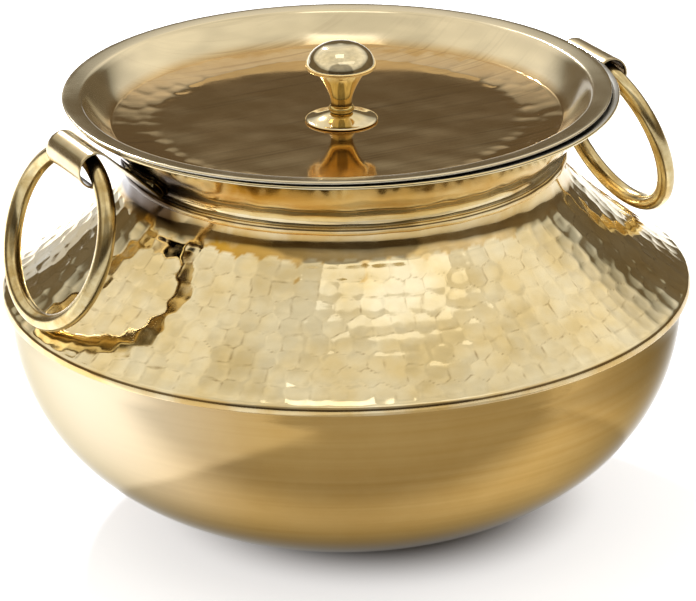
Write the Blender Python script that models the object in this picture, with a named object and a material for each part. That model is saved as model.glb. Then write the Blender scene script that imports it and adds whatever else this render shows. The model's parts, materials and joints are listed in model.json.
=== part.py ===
"""Brass handi: a squat stock pot with a dished lid, a turned knob and two hanging ring handles.

Lengths are in metres, +Z is up, and the origin is the middle of the flat that the pot stands on.
The two lugs lie on the X axis.
"""
import math

import bmesh
import bpy
from mathutils import Matrix, Vector

# Sheet and fits
WALL = 0.0015
LID_WALL = 0.0012
LUG_WALL = 0.0009
FIT_GAP = 0.0003
WELD_DISTANCE = 0.000001
CUT_OVERRUN = 0.001

# Bowl
BELLY_RADIUS = 0.156
BASE_RADIUS = 0.046
BOWL_HEIGHT = 0.110
BOWL_ROUNDNESS = 2.3
RIM_FLARE_DROP = 0.006

# Shoulder band, which laps over the bowl's rim
SHOULDER_RADIUS = 0.160
BAND_DROP = 0.0004
BAND_BOTTOM = BOWL_HEIGHT - BAND_DROP
BAND_HEIGHT = 0.0038
BAND_LEAN = 0.0012
SEAM_LAP = 0.0027

# Cove, bead and neck
NECK_RADIUS = 0.101
COVE_RADIUS = 0.017
SHOULDER_RISE = 0.0607
BEAD_BOTTOM = BAND_BOTTOM + SHOULDER_RISE
BEAD_HEIGHT = 0.0042
BEAD_RELIEF = 0.0012

# Collar and lip
COLLAR_RADIUS = 0.1003
COLLAR_FILLET = 0.009
COLLAR_ANGLE = math.radians(45)
LIP_RADIUS = 0.126
COLLAR_RISE = 0.0262
LIP_HEIGHT = BEAD_BOTTOM + BEAD_HEIGHT + COLLAR_RISE
LIP_BEND = 0.005

# Lid, a dish whose disc hangs inside the collar
LID_INSET = 0.0003
LID_RADIUS = LIP_RADIUS - LID_INSET
DISH_DEPTH = 0.0136
DISC_HEIGHT = LIP_HEIGHT + WALL - DISH_DEPTH
DISC_CLEARANCE = 0.0008
FLANGE_WIDTH = 0.0085
FLANGE_RISE = 0.0005
FLANGE_BEND = 0.0022
WALL_SAG = 0.0008
LID_SHIFT = 0.0028
LID_SHIFT_BEARING = math.radians(153)

# Knob, its foot and what holds them, with heights above the lid's disc
KNOB_SHIFT = 0.0020
FOOT_RADIUS = 0.01666
FOOT_EDGE = 0.0009
FOOT_TOP_RADIUS = 0.0052
FOOT_TOP = 0.0041
KNOB_BEAD_RADIUS = 0.0059
KNOB_BEAD_HEIGHT = 0.0029
KNOB_NECK_RADIUS = 0.0046
KNOB_NECK_HEIGHT = 0.0105
CUP_RADIUS = 0.0110
CUP_HEIGHT = 0.0242
CAP_RADIUS = 0.01615
CAP_HEIGHT = 0.0262
CAP_EDGE = 0.0010
DOME_HEIGHT = 0.0108
SCREW_RADIUS = 0.0025
SCREW_REACH = 0.0135
SCREW_HEAD_RADIUS = 0.0045
SCREW_HEAD_HEIGHT = 0.0024
WASHER_RADIUS = 0.0065
WASHER_THICKNESS = 0.0010

# Lugs and rings, in the plane that holds the pot's axis
LUG_OVERHANG = 0.006
LUG_REACH = LIP_RADIUS + LUG_OVERHANG
LUG_RISE = 0.0185
LUG_HEIGHT = BEAD_BOTTOM + BEAD_HEIGHT + LUG_RISE
LUG_WIDTH = 0.036
LUG_BORE_RADIUS = 0.0075
LUG_FOLD_RADIUS = 0.0016
LUG_FOLD_ANGLE = math.radians(14)
LUG_TAB_LENGTH = 0.0022
ROLL_START = math.radians(-88)
RING_RADIUS = 0.039
RING_ROD_RADIUS = 0.0043
RING_RISE = 0.0026
RING_SKEW = math.radians(5)

# Rivets
RIVET_RADIUS = 0.0015
RIVET_HEAD_RADIUS = 0.0022
RIVET_HEAD_HEIGHT = 0.0014
RIVET_SPACING = 0.022
RIVET_ANGLE = math.radians(37)

# Faces round each turned piece
POT_STEPS = 60
RING_STEPS = 40
ROD_STEPS = 8
KNOB_STEPS = 20
RIVET_STEPS = 10
LUG_STEPS = 6


def clear_scene():
    for item in list(bpy.data.objects):
        bpy.data.objects.remove(item, do_unlink=True)


def finish(name, colour, metallic, roughness):
    """A plain metal finish."""
    material = bpy.data.materials.new(name)
    material.use_nodes = True
    shader = material.node_tree.nodes["Principled BSDF"]
    shader.inputs["Base Color"].default_value = (*colour, 1.0)
    shader.inputs["Metallic"].default_value = metallic
    shader.inputs["Roughness"].default_value = roughness
    return material


def spun_brass():
    """Smooth satin brass of the bowl."""
    return finish("spun brass", (0.60, 0.42, 0.17), 1.0, 0.32)


def hammered_brass():
    """Bright brass of the upper body."""
    return finish("hammered brass", (0.66, 0.50, 0.22), 1.0, 0.20)


def lid_brass():
    """Polished sheet brass of the lid."""
    return finish("lid brass", (0.55, 0.41, 0.20), 1.0, 0.22)


def turned_brass():
    """Bright brass of the knob."""
    return finish("turned brass", (0.72, 0.58, 0.32), 1.0, 0.12)


def rod_brass():
    """Dull brass of the lugs, the rings and the rivets."""
    return finish("rod brass", (0.62, 0.49, 0.26), 1.0, 0.28)


def steel():
    """Plated steel of the screw and its washer."""
    return finish("plated steel", (0.55, 0.55, 0.56), 1.0, 0.30)


def arc(centre, radius, start, end, count):
    """Points along an arc in a plane, both ends included."""
    points = []
    for index in range(count + 1):
        angle = start + (end - start) * index / count
        points.append((centre[0] + radius * math.cos(angle), centre[1] + radius * math.sin(angle)))
    return points


def offset_path(points, distance):
    """The path moved to its left by a distance, with mitred corners."""
    moved = []
    for index, point in enumerate(points):
        here = Vector(point)
        before = (here - Vector(points[index - 1])).normalized() if index else None
        after = (Vector(points[index + 1]) - here).normalized() if index + 1 < len(points) else None
        first = before or after
        second = after or before
        normal = (Vector((-first.y, first.x)) + Vector((-second.y, second.x))).normalized()
        reach = distance / normal.dot(Vector((-first.y, first.x)))
        moved.append(tuple(here + normal * reach))
    return moved


def sheet_outline(path, thickness, closed_on_axis=False):
    """A path given the sheet's thickness on its left, with rounded free edges."""
    other = offset_path(path, thickness)
    outline = list(path) + rounded_edge(path, other, thickness) + other[::-1]
    if not closed_on_axis:
        outline += rounded_edge(other[::-1], path[::-1], thickness)
    return outline


def rounded_edge(path, other, thickness):
    """One point that rounds the sheet's edge at the end of a path."""
    along = (Vector(path[-1]) - Vector(path[-2])).normalized()
    middle = (Vector(path[-1]) + Vector(other[-1])) / 2
    return [tuple(middle + along * thickness / 3)]


def turned(name, outline, steps, material, on_axis, sharp=math.radians(28)):
    """A solid of revolution about Z from an outline of radii and heights."""
    shape = bmesh.new()
    corners = [shape.verts.new((radius, 0.0, height)) for radius, height in outline]
    edges = [shape.edges.new(pair) for pair in zip(corners, corners[1:])]
    if not on_axis:
        edges.append(shape.edges.new((corners[-1], corners[0])))
    bmesh.ops.spin(shape, geom=corners + edges, cent=(0.0, 0.0, 0.0), axis=(0.0, 0.0, 1.0),
                   angle=math.tau, steps=steps, use_merge=True)
    bmesh.ops.remove_doubles(shape, verts=shape.verts[:], dist=WELD_DISTANCE)
    bmesh.ops.recalc_face_normals(shape, faces=shape.faces[:])
    mesh = bpy.data.meshes.new(name)
    shape.to_mesh(mesh)
    shape.free()
    return place_mesh(name, mesh, material, sharp)


def place_mesh(name, mesh, material, sharp=math.radians(28)):
    """A mesh as a named object with smooth faces and sharp corners."""
    mesh.materials.append(material)
    mesh.shade_smooth()
    mesh.set_sharp_from_angle(angle=sharp)
    piece = bpy.data.objects.new(name, mesh)
    bpy.context.collection.objects.link(piece)
    return piece


def frame_at(name, location=(0.0, 0.0, 0.0), turn=(0.0, 0.0, 0.0), parent=None):
    """An empty that carries pieces."""
    holder = bpy.data.objects.new(name, None)
    holder.location = location
    holder.rotation_euler = turn
    holder.parent = parent
    bpy.context.collection.objects.link(holder)
    return holder


def round_cutter(name, radius, low, high, parent, location=(0.0, 0.0, 0.0), turn=(0.0, 0.0, 0.0)):
    """A round cutter along its own Z axis."""
    bpy.ops.mesh.primitive_cylinder_add(vertices=RIVET_STEPS, radius=radius, depth=high - low)
    cutter = bpy.context.object
    cutter.name = name
    cutter.data.transform(Matrix.Translation((0.0, 0.0, (high + low) / 2)))
    cutter.parent = parent
    cutter.location = location
    cutter.rotation_euler = turn
    cutter.hide_render = True
    cutter.display_type = "WIRE"
    return cutter


def cut(piece, cutter):
    """Takes a cutter out of a piece."""
    step = piece.modifiers.new("cut by " + cutter.name, "BOOLEAN")
    step.operation = "DIFFERENCE"
    step.solver = "EXACT"
    step.object = cutter


def band_radius(height):
    """Outer radius of the shoulder band at a height."""
    return SHOULDER_RADIUS - BAND_LEAN * (height - BAND_BOTTOM) / BAND_HEIGHT


def bowl_path():
    """The bowl's outer side, from the middle of the base up to the rim inside the band."""
    bend = 2 / BOWL_ROUNDNESS
    depth = BOWL_HEIGHT / (1 - (BASE_RADIUS / BELLY_RADIUS) ** BOWL_ROUNDNESS) ** (1 / BOWL_ROUNDNESS)
    low = math.asin((BOWL_HEIGHT / depth) ** (1 / bend))
    high = math.asin((RIM_FLARE_DROP / depth) ** (1 / bend))
    path = [(0.0, 0.0)]
    count = 9
    for index in range(count + 1):
        angle = low + (high - low) * index / count
        path.append((BELLY_RADIUS * math.cos(angle) ** bend, BOWL_HEIGHT - depth * math.sin(angle) ** bend))
    rim_top = BAND_BOTTOM + SEAM_LAP
    slant = math.hypot(BAND_LEAN, BAND_HEIGHT) / BAND_HEIGHT
    rim_radius = band_radius(rim_top) - (WALL + FIT_GAP) * slant
    path.append((rim_radius, BOWL_HEIGHT - SEAM_LAP / 4))
    path.append((rim_radius, rim_top))
    return path


def tangent_point(start, centre, radius):
    """Where the line from a point touches a circle on the circle's lower left."""
    gap = Vector(centre) - Vector(start)
    angle = math.atan2(gap.y, gap.x) + math.asin(radius / gap.length)
    reach = math.sqrt(gap.length ** 2 - radius ** 2)
    return (start[0] + reach * math.cos(angle), start[1] + reach * math.sin(angle))


def cone_ends():
    """The two ends of the straight cone, on the body's outer side."""
    foot = (SHOULDER_RADIUS - BAND_LEAN, BAND_BOTTOM + BAND_HEIGHT)
    head = tangent_point(foot, (NECK_RADIUS + COVE_RADIUS, BEAD_BOTTOM), COVE_RADIUS)
    return foot, head


def collar_fillet_centre():
    return (COLLAR_RADIUS + COLLAR_FILLET, BEAD_BOTTOM + BEAD_HEIGHT)


def body_path():
    """The upper body's outer side, from the band's bottom edge up to the lip."""
    foot, head = cone_ends()
    path = [(SHOULDER_RADIUS, BAND_BOTTOM), foot]
    cove = (NECK_RADIUS + COVE_RADIUS, BEAD_BOTTOM)
    start = math.atan2(head[1] - cove[1], head[0] - cove[0]) % math.tau
    path += arc(cove, COVE_RADIUS, start, math.pi, 4)
    path += bead_points()
    path += collar_points()
    return path


def bead_points():
    """The raised bead between the cove and the collar."""
    half = BEAD_HEIGHT / 2
    radius = (half ** 2 + BEAD_RELIEF ** 2) / (2 * BEAD_RELIEF)
    centre = (NECK_RADIUS + BEAD_RELIEF - radius, BEAD_BOTTOM + half)
    reach = math.asin(half / radius)
    return arc(centre, radius, -reach, reach, 4)[1:-1]


def collar_points():
    """The collar from the bead up to the lip's edge."""
    centre = collar_fillet_centre()
    points = arc(centre, COLLAR_FILLET, math.pi, math.pi - COLLAR_ANGLE, 3)
    steepness = math.tan(math.pi / 2 - COLLAR_ANGLE)
    bend_run = LIP_BEND * math.sin(math.pi / 2 - COLLAR_ANGLE)
    bend_rise = LIP_BEND * (1 - math.cos(math.pi / 2 - COLLAR_ANGLE))
    last = points[-1]
    top = LIP_HEIGHT - bend_rise
    start = last[0] + (top - last[1]) / steepness
    bend = (start + bend_run, LIP_HEIGHT - LIP_BEND)
    points += arc(bend, LIP_BEND, math.pi - COLLAR_ANGLE, math.pi / 2, 3)
    points.append((LIP_RADIUS, LIP_HEIGHT))
    return points


def disc_radius():
    """The lid's disc, as wide as the collar's inside leaves room for when the lid lies to one side."""
    centre = collar_fillet_centre()
    slope_radius = centre[0] - COLLAR_FILLET * math.cos(COLLAR_ANGLE)
    slope_height = centre[1] + COLLAR_FILLET * math.sin(COLLAR_ANGLE)
    outer = slope_radius + (DISC_HEIGHT - LID_WALL - slope_height) * math.tan(COLLAR_ANGLE)
    return outer - WALL / math.cos(COLLAR_ANGLE) - LID_SHIFT - DISC_CLEARANCE


def make_bowl(material):
    return turned("bowl", sheet_outline(bowl_path(), WALL, closed_on_axis=True), POT_STEPS, material, True)


def make_upper_body(material):
    return turned("upper_body", sheet_outline(body_path(), WALL), POT_STEPS, material, False)


def lid_path():
    """The lid's upper side, from the middle of its disc to the flange's edge."""
    seat = LIP_HEIGHT + WALL + FIT_GAP + LID_WALL
    disc = disc_radius()
    inner = LID_RADIUS - FLANGE_WIDTH
    bend_top = (inner + FLANGE_BEND / 2, seat)
    wall_top = (inner - FLANGE_BEND / 2, seat - FLANGE_BEND / 2)
    path = [(0.0, DISC_HEIGHT), (disc, DISC_HEIGHT)]
    count = 4
    for index in range(1, count):
        share = index / count
        radius = disc + (wall_top[0] - disc) * share
        height = DISC_HEIGHT + (wall_top[1] - DISC_HEIGHT) * share
        path.append((radius, height - WALL_SAG * math.sin(math.pi * share)))
    path += [wall_top, (inner, seat - FLANGE_BEND / 8), bend_top, (LID_RADIUS, seat + FLANGE_RISE)]
    return path


def make_lid(material, holder):
    under = offset_path(lid_path(), -LID_WALL)
    outline = sheet_outline(under, LID_WALL, closed_on_axis=True)
    lid = turned("lid", outline, POT_STEPS, material, True)
    lid.parent = holder
    return lid


def make_knob_foot(material, holder):
    bore = SCREW_RADIUS + FIT_GAP
    run = FOOT_RADIUS - FOOT_TOP_RADIUS
    rise = FOOT_TOP - FIT_GAP - FOOT_EDGE
    outline = [(bore, FIT_GAP), (FOOT_RADIUS - FOOT_EDGE / 3, FIT_GAP)]
    outline += [(FOOT_RADIUS, FIT_GAP + FOOT_EDGE / 2)]
    count = 4
    for index in range(count + 1):
        share = index / count
        radius = FOOT_RADIUS - FOOT_EDGE / 3 - (run - FOOT_EDGE / 3) * share
        outline.append((radius, FIT_GAP + FOOT_EDGE + rise * share ** 1.6))
    outline.append((bore, FOOT_TOP))
    foot = turned("knob_foot", outline, KNOB_STEPS, material, False)
    foot.parent = holder
    return foot


def cup_points():
    """The cup that opens from the knob's neck to the cap's underside."""
    points = []
    count = 4
    for index in range(count + 1):
        share = index / count
        swell = math.sin(share * math.pi / 2) ** 1.4
        points.append((KNOB_NECK_RADIUS + (CUP_RADIUS - KNOB_NECK_RADIUS) * swell,
                       KNOB_NECK_HEIGHT + (CUP_HEIGHT - KNOB_NECK_HEIGHT) * share))
    return points


def make_knob(material, holder):
    bore = SCREW_RADIUS + FIT_GAP
    bottom = FOOT_TOP + FIT_GAP
    bead_top = bottom + KNOB_BEAD_HEIGHT
    bead_slope = KNOB_BEAD_HEIGHT / 4
    outline = [(0.0, SCREW_REACH + bore), (bore, SCREW_REACH + FIT_GAP), (bore, bottom)]
    outline += [(KNOB_BEAD_RADIUS - bead_slope, bottom), (KNOB_BEAD_RADIUS, bottom + bead_slope)]
    outline += [(KNOB_BEAD_RADIUS, bead_top - bead_slope), (KNOB_NECK_RADIUS, bead_top)]
    outline += cup_points()
    outline += [(CAP_RADIUS - CAP_EDGE, CAP_HEIGHT - CAP_EDGE)]
    count = 6
    for index in range(count + 1):
        angle = math.pi / 2 * index / count
        outline.append((CAP_RADIUS * math.cos(angle), CAP_HEIGHT + DOME_HEIGHT * math.sin(angle)))
    outline[-1] = (0.0, CAP_HEIGHT + DOME_HEIGHT)
    knob = turned("knob", outline, KNOB_STEPS, material, True)
    knob.parent = holder
    return knob


def make_knob_screw(material, holder):
    head_top = -LID_WALL - WASHER_THICKNESS - 2 * FIT_GAP
    head_bottom = head_top - SCREW_HEAD_HEIGHT
    outline = [(0.0, head_bottom), (SCREW_HEAD_RADIUS * 2 / 3, head_bottom),
               (SCREW_HEAD_RADIUS, head_bottom + SCREW_HEAD_HEIGHT / 2), (SCREW_HEAD_RADIUS, head_top),
               (SCREW_RADIUS, head_top), (SCREW_RADIUS, SCREW_REACH - SCREW_RADIUS / 4),
               (SCREW_RADIUS * 3 / 4, SCREW_REACH), (0.0, SCREW_REACH)]
    screw = turned("knob_screw", outline, KNOB_STEPS, material, True)
    screw.parent = holder
    return screw


def make_knob_washer(material, holder):
    top = -LID_WALL - FIT_GAP
    bore = SCREW_RADIUS + FIT_GAP
    outline = [(bore, top - WASHER_THICKNESS), (WASHER_RADIUS, top - WASHER_THICKNESS),
               (WASHER_RADIUS, top), (bore, top)]
    washer = turned("knob_washer", outline, KNOB_STEPS, material, False)
    washer.parent = holder
    return washer


def lug_path():
    """The strap's face on the bore's side, from the roll's free edge to the tab's end on the collar."""
    roll = Vector((LUG_REACH, LUG_HEIGHT))
    fillet = Vector(collar_fillet_centre())
    tab_radius = COLLAR_FILLET - FIT_GAP
    turn = Vector((-math.cos(LUG_FOLD_ANGLE), math.sin(LUG_FOLD_ANGLE)))
    fold = fillet + turn * (tab_radius - LUG_FOLD_RADIUS)
    gap = roll - fold
    lean = math.atan2(gap.y, gap.x) + math.asin((LUG_FOLD_RADIUS + LUG_BORE_RADIUS) / gap.length)
    path = arc(roll, LUG_BORE_RADIUS, ROLL_START, lean + math.pi / 2, 12)
    fold_points = arc(fold, LUG_FOLD_RADIUS, lean - math.pi / 2, -math.pi - LUG_FOLD_ANGLE, 4)
    path.append(tuple((Vector(path[-1]) + Vector(fold_points[0])) / 2))
    path += fold_points
    path += arc(fillet, tab_radius, math.pi - LUG_FOLD_ANGLE, math.pi - COLLAR_ANGLE, 3)[1:]
    end = Vector(path[-1]) + Vector((math.sin(COLLAR_ANGLE), math.cos(COLLAR_ANGLE))) * LUG_TAB_LENGTH
    path.append(tuple(end))
    return path


def make_lug(name, material, holder):
    """A strap rolled round the ring at one end and wrapped on the collar at the other."""
    path = lug_path()
    roll_end = 12
    other_end = roll_end + 2
    shape = bmesh.new()
    rows = []
    for step in range(LUG_STEPS + 1):
        across = LUG_WIDTH * (step / LUG_STEPS - 1 / 2)
        row = []
        for index, (radius, height) in enumerate(path):
            wrap = min(max((index - roll_end) / (other_end - roll_end), 0), 1)
            wrapped = math.sqrt(radius ** 2 - across ** 2)
            row.append(shape.verts.new((radius + (wrapped - radius) * wrap, across, height)))
        rows.append(row)
    for near, far in zip(rows, rows[1:]):
        for index in range(len(path) - 1):
            shape.faces.new((near[index], far[index], far[index + 1], near[index + 1]))
    bmesh.ops.recalc_face_normals(shape, faces=shape.faces[:])
    mesh = bpy.data.meshes.new(name)
    shape.to_mesh(mesh)
    shape.free()
    lug = place_mesh(name, mesh, material)
    lug.parent = holder
    thick = lug.modifiers.new("sheet", "SOLIDIFY")
    thick.thickness = LUG_WALL
    thick.offset = 1.0
    thick.use_even_offset = True
    return lug


def ring_lean():
    """How far the hanging ring leans out where its rod comes to rest on the cone."""
    foot, head = cone_ends()
    along = (Vector(head) - Vector(foot)).normalized()
    outward = Vector((along.y, -along.x))
    hinge = (Vector((LUG_REACH, LUG_HEIGHT)) - Vector(foot)).dot(outward)
    reach = 2 * RING_RADIUS - RING_RISE
    return math.atan2(outward.y, outward.x) + math.asin((RING_ROD_RADIUS + FIT_GAP - hinge) / reach)


def make_ring(name, material, holder):
    """A plain round-rod ring that hangs a little askew, with its origin on the lug's axis."""
    bpy.ops.mesh.primitive_torus_add(major_segments=RING_STEPS, minor_segments=ROD_STEPS,
                                     major_radius=RING_RADIUS, minor_radius=RING_ROD_RADIUS)
    ring = bpy.context.object
    ring.name = name
    upright = Matrix.Rotation(math.pi / 2, 4, "Y")
    drop = Matrix.Translation((0.0, 0.0, RING_RISE - RING_RADIUS))
    askew = Matrix.Rotation(RING_SKEW, 4, "Z")
    ring.data.transform(askew @ drop @ upright)
    ring.data.materials.append(material)
    ring.data.shade_smooth()
    ring.parent = holder
    ring.location = (LUG_REACH, 0.0, LUG_HEIGHT)
    ring.rotation_euler = (0.0, -ring_lean(), 0.0)
    return ring


def rivet_place(side):
    """Where a rivet passes through the collar, and how it is turned."""
    centre = collar_fillet_centre()
    radius = centre[0] - COLLAR_FILLET * math.cos(RIVET_ANGLE)
    height = centre[1] + COLLAR_FILLET * math.sin(RIVET_ANGLE)
    bearing = side * math.asin(RIVET_SPACING / 2 / radius)
    location = (radius * math.cos(bearing), radius * math.sin(bearing), height)
    return location, (0.0, math.pi / 2 + RIVET_ANGLE, bearing)


def make_rivet(name, material, holder, side):
    """A rivet through the tab and the collar, headed on both sides."""
    dip = RIVET_HEAD_RADIUS ** 2 / (2 * (COLLAR_FILLET - FIT_GAP - LUG_WALL))
    under_head = FIT_GAP + LUG_WALL + FIT_GAP + dip
    inner_head = -WALL - FIT_GAP
    rise = RIVET_HEAD_HEIGHT
    outline = [(0.0, inner_head - rise * 2 / 3), (RIVET_HEAD_RADIUS * 3 / 4, inner_head - rise * 2 / 3),
               (RIVET_HEAD_RADIUS, inner_head - rise / 4), (RIVET_HEAD_RADIUS, inner_head),
               (RIVET_RADIUS, inner_head), (RIVET_RADIUS, under_head), (RIVET_HEAD_RADIUS, under_head),
               (RIVET_HEAD_RADIUS * 4 / 5, under_head + rise * 3 / 5),
               (RIVET_HEAD_RADIUS / 3, under_head + rise), (0.0, under_head + rise)]
    rivet = turned(name, outline, RIVET_STEPS, material, True)
    rivet.parent = holder
    rivet.location, rivet.rotation_euler = rivet_place(side)
    return rivet


def make_handle(side_name, turn, body, material):
    """One lug with its ring and its two rivets."""
    holder = frame_at(side_name + "_handle_frame", turn=(0.0, 0.0, turn))
    lug = make_lug(side_name + "_lug", material, holder)
    make_ring(side_name + "_ring", material, holder)
    for place, side in (("near", -1), ("far", 1)):
        name = side_name + "_rivet_" + place
        make_rivet(name, material, holder, side)
        location, angles = rivet_place(side)
        reach = RIVET_HEAD_HEIGHT + WALL + CUT_OVERRUN
        cutter = round_cutter(name + "_hole", RIVET_RADIUS + FIT_GAP, -reach, reach, holder, location, angles)
        cut(lug, cutter)
        cut(body, cutter)


def make_lid_assembly():
    """The lid with its knob, set a little to one side on the lip."""
    shift = (LID_SHIFT * math.cos(LID_SHIFT_BEARING), LID_SHIFT * math.sin(LID_SHIFT_BEARING), 0.0)
    lid_frame = frame_at("lid_frame", location=shift)
    back = (-KNOB_SHIFT * math.cos(LID_SHIFT_BEARING), -KNOB_SHIFT * math.sin(LID_SHIFT_BEARING), DISC_HEIGHT)
    knob_frame = frame_at("knob_frame", location=back, parent=lid_frame)
    lid = make_lid(lid_brass(), lid_frame)
    knob_finish = turned_brass()
    make_knob(knob_finish, knob_frame)
    make_knob_foot(knob_finish, knob_frame)
    screw_finish = steel()
    make_knob_screw(screw_finish, knob_frame)
    make_knob_washer(screw_finish, knob_frame)
    low = -LID_WALL - CUT_OVERRUN
    hole = round_cutter("knob_screw_hole", SCREW_RADIUS + FIT_GAP, low, CUT_OVERRUN, knob_frame)
    cut(lid, hole)


def main():
    clear_scene()
    make_bowl(spun_brass())
    body = make_upper_body(hammered_brass())
    handle_finish = rod_brass()
    make_handle("right", 0.0, body, handle_finish)
    make_handle("left", math.pi, body, handle_finish)
    make_lid_assembly()


main()
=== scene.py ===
# %% [markdown]
# # A hammered brass pot with a dished lid
# This lesson dresses a packed pot: its sizes and its moving bodies are given, and the looks are made here.
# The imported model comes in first, because every new piece has to sit exactly where its plain one is.

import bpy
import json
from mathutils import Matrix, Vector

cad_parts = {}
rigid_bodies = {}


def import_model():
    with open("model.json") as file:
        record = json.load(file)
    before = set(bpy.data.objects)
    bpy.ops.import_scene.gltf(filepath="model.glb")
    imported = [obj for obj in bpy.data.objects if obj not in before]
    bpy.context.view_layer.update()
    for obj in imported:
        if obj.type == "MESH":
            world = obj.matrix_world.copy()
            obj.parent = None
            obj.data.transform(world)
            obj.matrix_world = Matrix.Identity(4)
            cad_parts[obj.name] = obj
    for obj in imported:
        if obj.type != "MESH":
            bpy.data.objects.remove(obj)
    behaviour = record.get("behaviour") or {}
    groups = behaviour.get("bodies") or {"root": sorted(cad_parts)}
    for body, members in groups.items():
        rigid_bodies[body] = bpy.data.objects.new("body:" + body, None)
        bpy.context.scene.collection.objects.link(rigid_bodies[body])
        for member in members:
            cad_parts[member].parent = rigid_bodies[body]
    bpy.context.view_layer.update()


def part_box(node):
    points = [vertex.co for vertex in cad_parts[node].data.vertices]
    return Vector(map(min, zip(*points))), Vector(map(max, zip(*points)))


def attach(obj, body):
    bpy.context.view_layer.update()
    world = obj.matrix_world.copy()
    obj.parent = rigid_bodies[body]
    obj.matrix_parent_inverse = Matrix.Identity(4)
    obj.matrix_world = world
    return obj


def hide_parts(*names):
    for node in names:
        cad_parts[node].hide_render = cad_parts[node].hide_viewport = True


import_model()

# %% Units, colours and the standard libraries
import json
import math

import bpy
import numpy as np
from mathutils import Matrix, Vector

MM = 0.001


def linear(hex_colour):
    """An sRGB hex colour as the linear RGBA that a shader reads."""
    parts = [int(hex_colour[i:i + 2], 16) / 255 for i in (1, 3, 5)]
    return [p / 12.92 if p <= 0.04045 else ((p + 0.055) / 1.055) ** 2.4 for p in parts] + [1.0]


print("pale brass in linear light:", [round(c, 3) for c in linear("#e6cf9a")])

# %% [markdown]
# ## The camera
# The photograph was measured first: how wide each rim's ellipse is against how tall, and how much the far
# side shrinks. That gave a long lens two metres away, 21.8 degrees above the horizon, and turned 27 degrees
# from the pot's front, so that the lugs lie left and right.

# %% Camera at the photograph's angle
VIEW_TURN = math.radians(-27)
ELEVATION = math.radians(21.76)
ROLL = math.radians(-0.88)
FOCAL_PIXELS = 4276
FRAME_WIDTH = 696


def from_view(x, y, z):
    """A point given as seen from the camera: x to the right, y away, z up."""
    return Matrix.Rotation(VIEW_TURN, 3, "Z") @ Vector((x, y, z))


side = from_view(1, 0, 0)
rise = from_view(0, math.sin(ELEVATION), math.cos(ELEVATION))
back = from_view(0, -math.cos(ELEVATION), math.sin(ELEVATION))
aim = Vector((0, 0, 110 * MM))
place = aim + side * 0.853 * MM - rise * 9.92 * MM + back * 1989.3 * MM
rolled_side = side * math.cos(ROLL) + rise * math.sin(ROLL)
rolled_rise = rise * math.cos(ROLL) - side * math.sin(ROLL)

bpy.ops.object.select_all(action="DESELECT")
bpy.ops.object.camera_add(location=place)
camera = bpy.context.object
turned_to = Matrix((rolled_side, rolled_rise, back)).transposed().to_4x4()
camera.matrix_world = Matrix.Translation(place) @ turned_to
camera.data.sensor_width = 36
camera.data.lens = FOCAL_PIXELS * camera.data.sensor_width / FRAME_WIDTH
camera.data.clip_end = 30
bpy.context.scene.camera = camera
print("camera at", [round(c, 3) for c in place], "lens", round(camera.data.lens, 1), "mm")

# %% [markdown]
# ## Floor and light
# Polished metal shows its room more than itself, so the photo's reflections were traced back. The room is a
# ramp from dim brown at the horizon to soft white overhead. The cone and the lid's wall see its bright
# part, and the lid's flat disc only the dim part. A dark screen in front stands for the photographer's
# side. A world background can hold all this, and no wall has to be modelled.

# %% A tool that adds a node with its settings and links
def first_output(source):
    return source.outputs[0] if isinstance(source, bpy.types.Node) else source


def node(owner, kind, inputs=None, **settings):
    """A new shader node with its settings. An input gets a value, an output, or a node's first output."""
    made = owner.node_tree.nodes.new("ShaderNode" + kind)
    for key, value in settings.items():
        if hasattr(made, key):
            setattr(made, key, value)
        else:
            is_colour = isinstance(value, str)
            made.inputs[key.replace("_", " ")].default_value = linear(value) if is_colour else value
    for key, source in (inputs or {}).items():
        if isinstance(source, (bpy.types.Node, bpy.types.NodeSocket)):
            owner.node_tree.links.new(first_output(source), made.inputs[key])
        else:
            made.inputs[key].default_value = source
    return made


# %% The room, dim below and bright overhead
world = bpy.data.worlds.new("studio room")
bpy.context.scene.world = world
world.use_nodes = True
direction = node(world, "TexCoord").outputs["Generated"]
height = node(world, "SeparateXYZ", {"Vector": direction}).outputs["Z"]
glow = node(world, "ValToRGB", {"Fac": height})
# Each stop is the sine of the height above the horizon, and the light's colour there.
ROOM = [(0.00, (0.14, 0.11, 0.07)), (0.30, (0.16, 0.125, 0.08)), (0.336, (0.15, 0.12, 0.08)),
        (0.356, (0.34, 0.33, 0.29)), (0.46, (0.72, 0.69, 0.64)), (0.56, (0.92, 0.88, 0.80)),
        (0.97, (0.78, 0.74, 0.65))]
for sine, colour in ROOM[1:-1]:
    glow.color_ramp.elements.new(sine)
for stop, (sine, colour) in zip(glow.color_ramp.elements, ROOM):
    stop.position = sine
    stop.color = (*colour, 1)
clutter = node(world, "TexNoise", {"Vector": direction}, Scale=5.0, Detail=3.0)
uneven_light = node(world, "MapRange", {"Value": clutter},
                    From_Min=0.35, From_Max=0.65, To_Min=0.86, To_Max=1.10)
SCREEN_HEIGHT = math.radians(15)
to_screen = from_view(0, -math.cos(SCREEN_HEIGHT), math.sin(SCREEN_HEIGHT))
forward = node(world, "VectorMath", {0: direction, 1: to_screen}, operation="DOT_PRODUCT")
screen = node(world, "MapRange", {"Value": forward.outputs["Value"]},
              interpolation_type="SMOOTHSTEP", From_Min=0.72, From_Max=0.80, To_Min=1.0, To_Max=0.42)
share = node(world, "Math", {0: uneven_light, 1: screen}, operation="MULTIPLY")
lit_room = node(world, "VectorMath", {0: glow, "Scale": share}, operation="SCALE")
background = world.node_tree.nodes["Background"]
world.node_tree.links.new(lit_room.outputs["Vector"], background.inputs["Color"])
bpy.context.scene.view_settings.view_transform = "Standard"
print("the room's light has", len(glow.color_ramp.elements), "stops")

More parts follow.
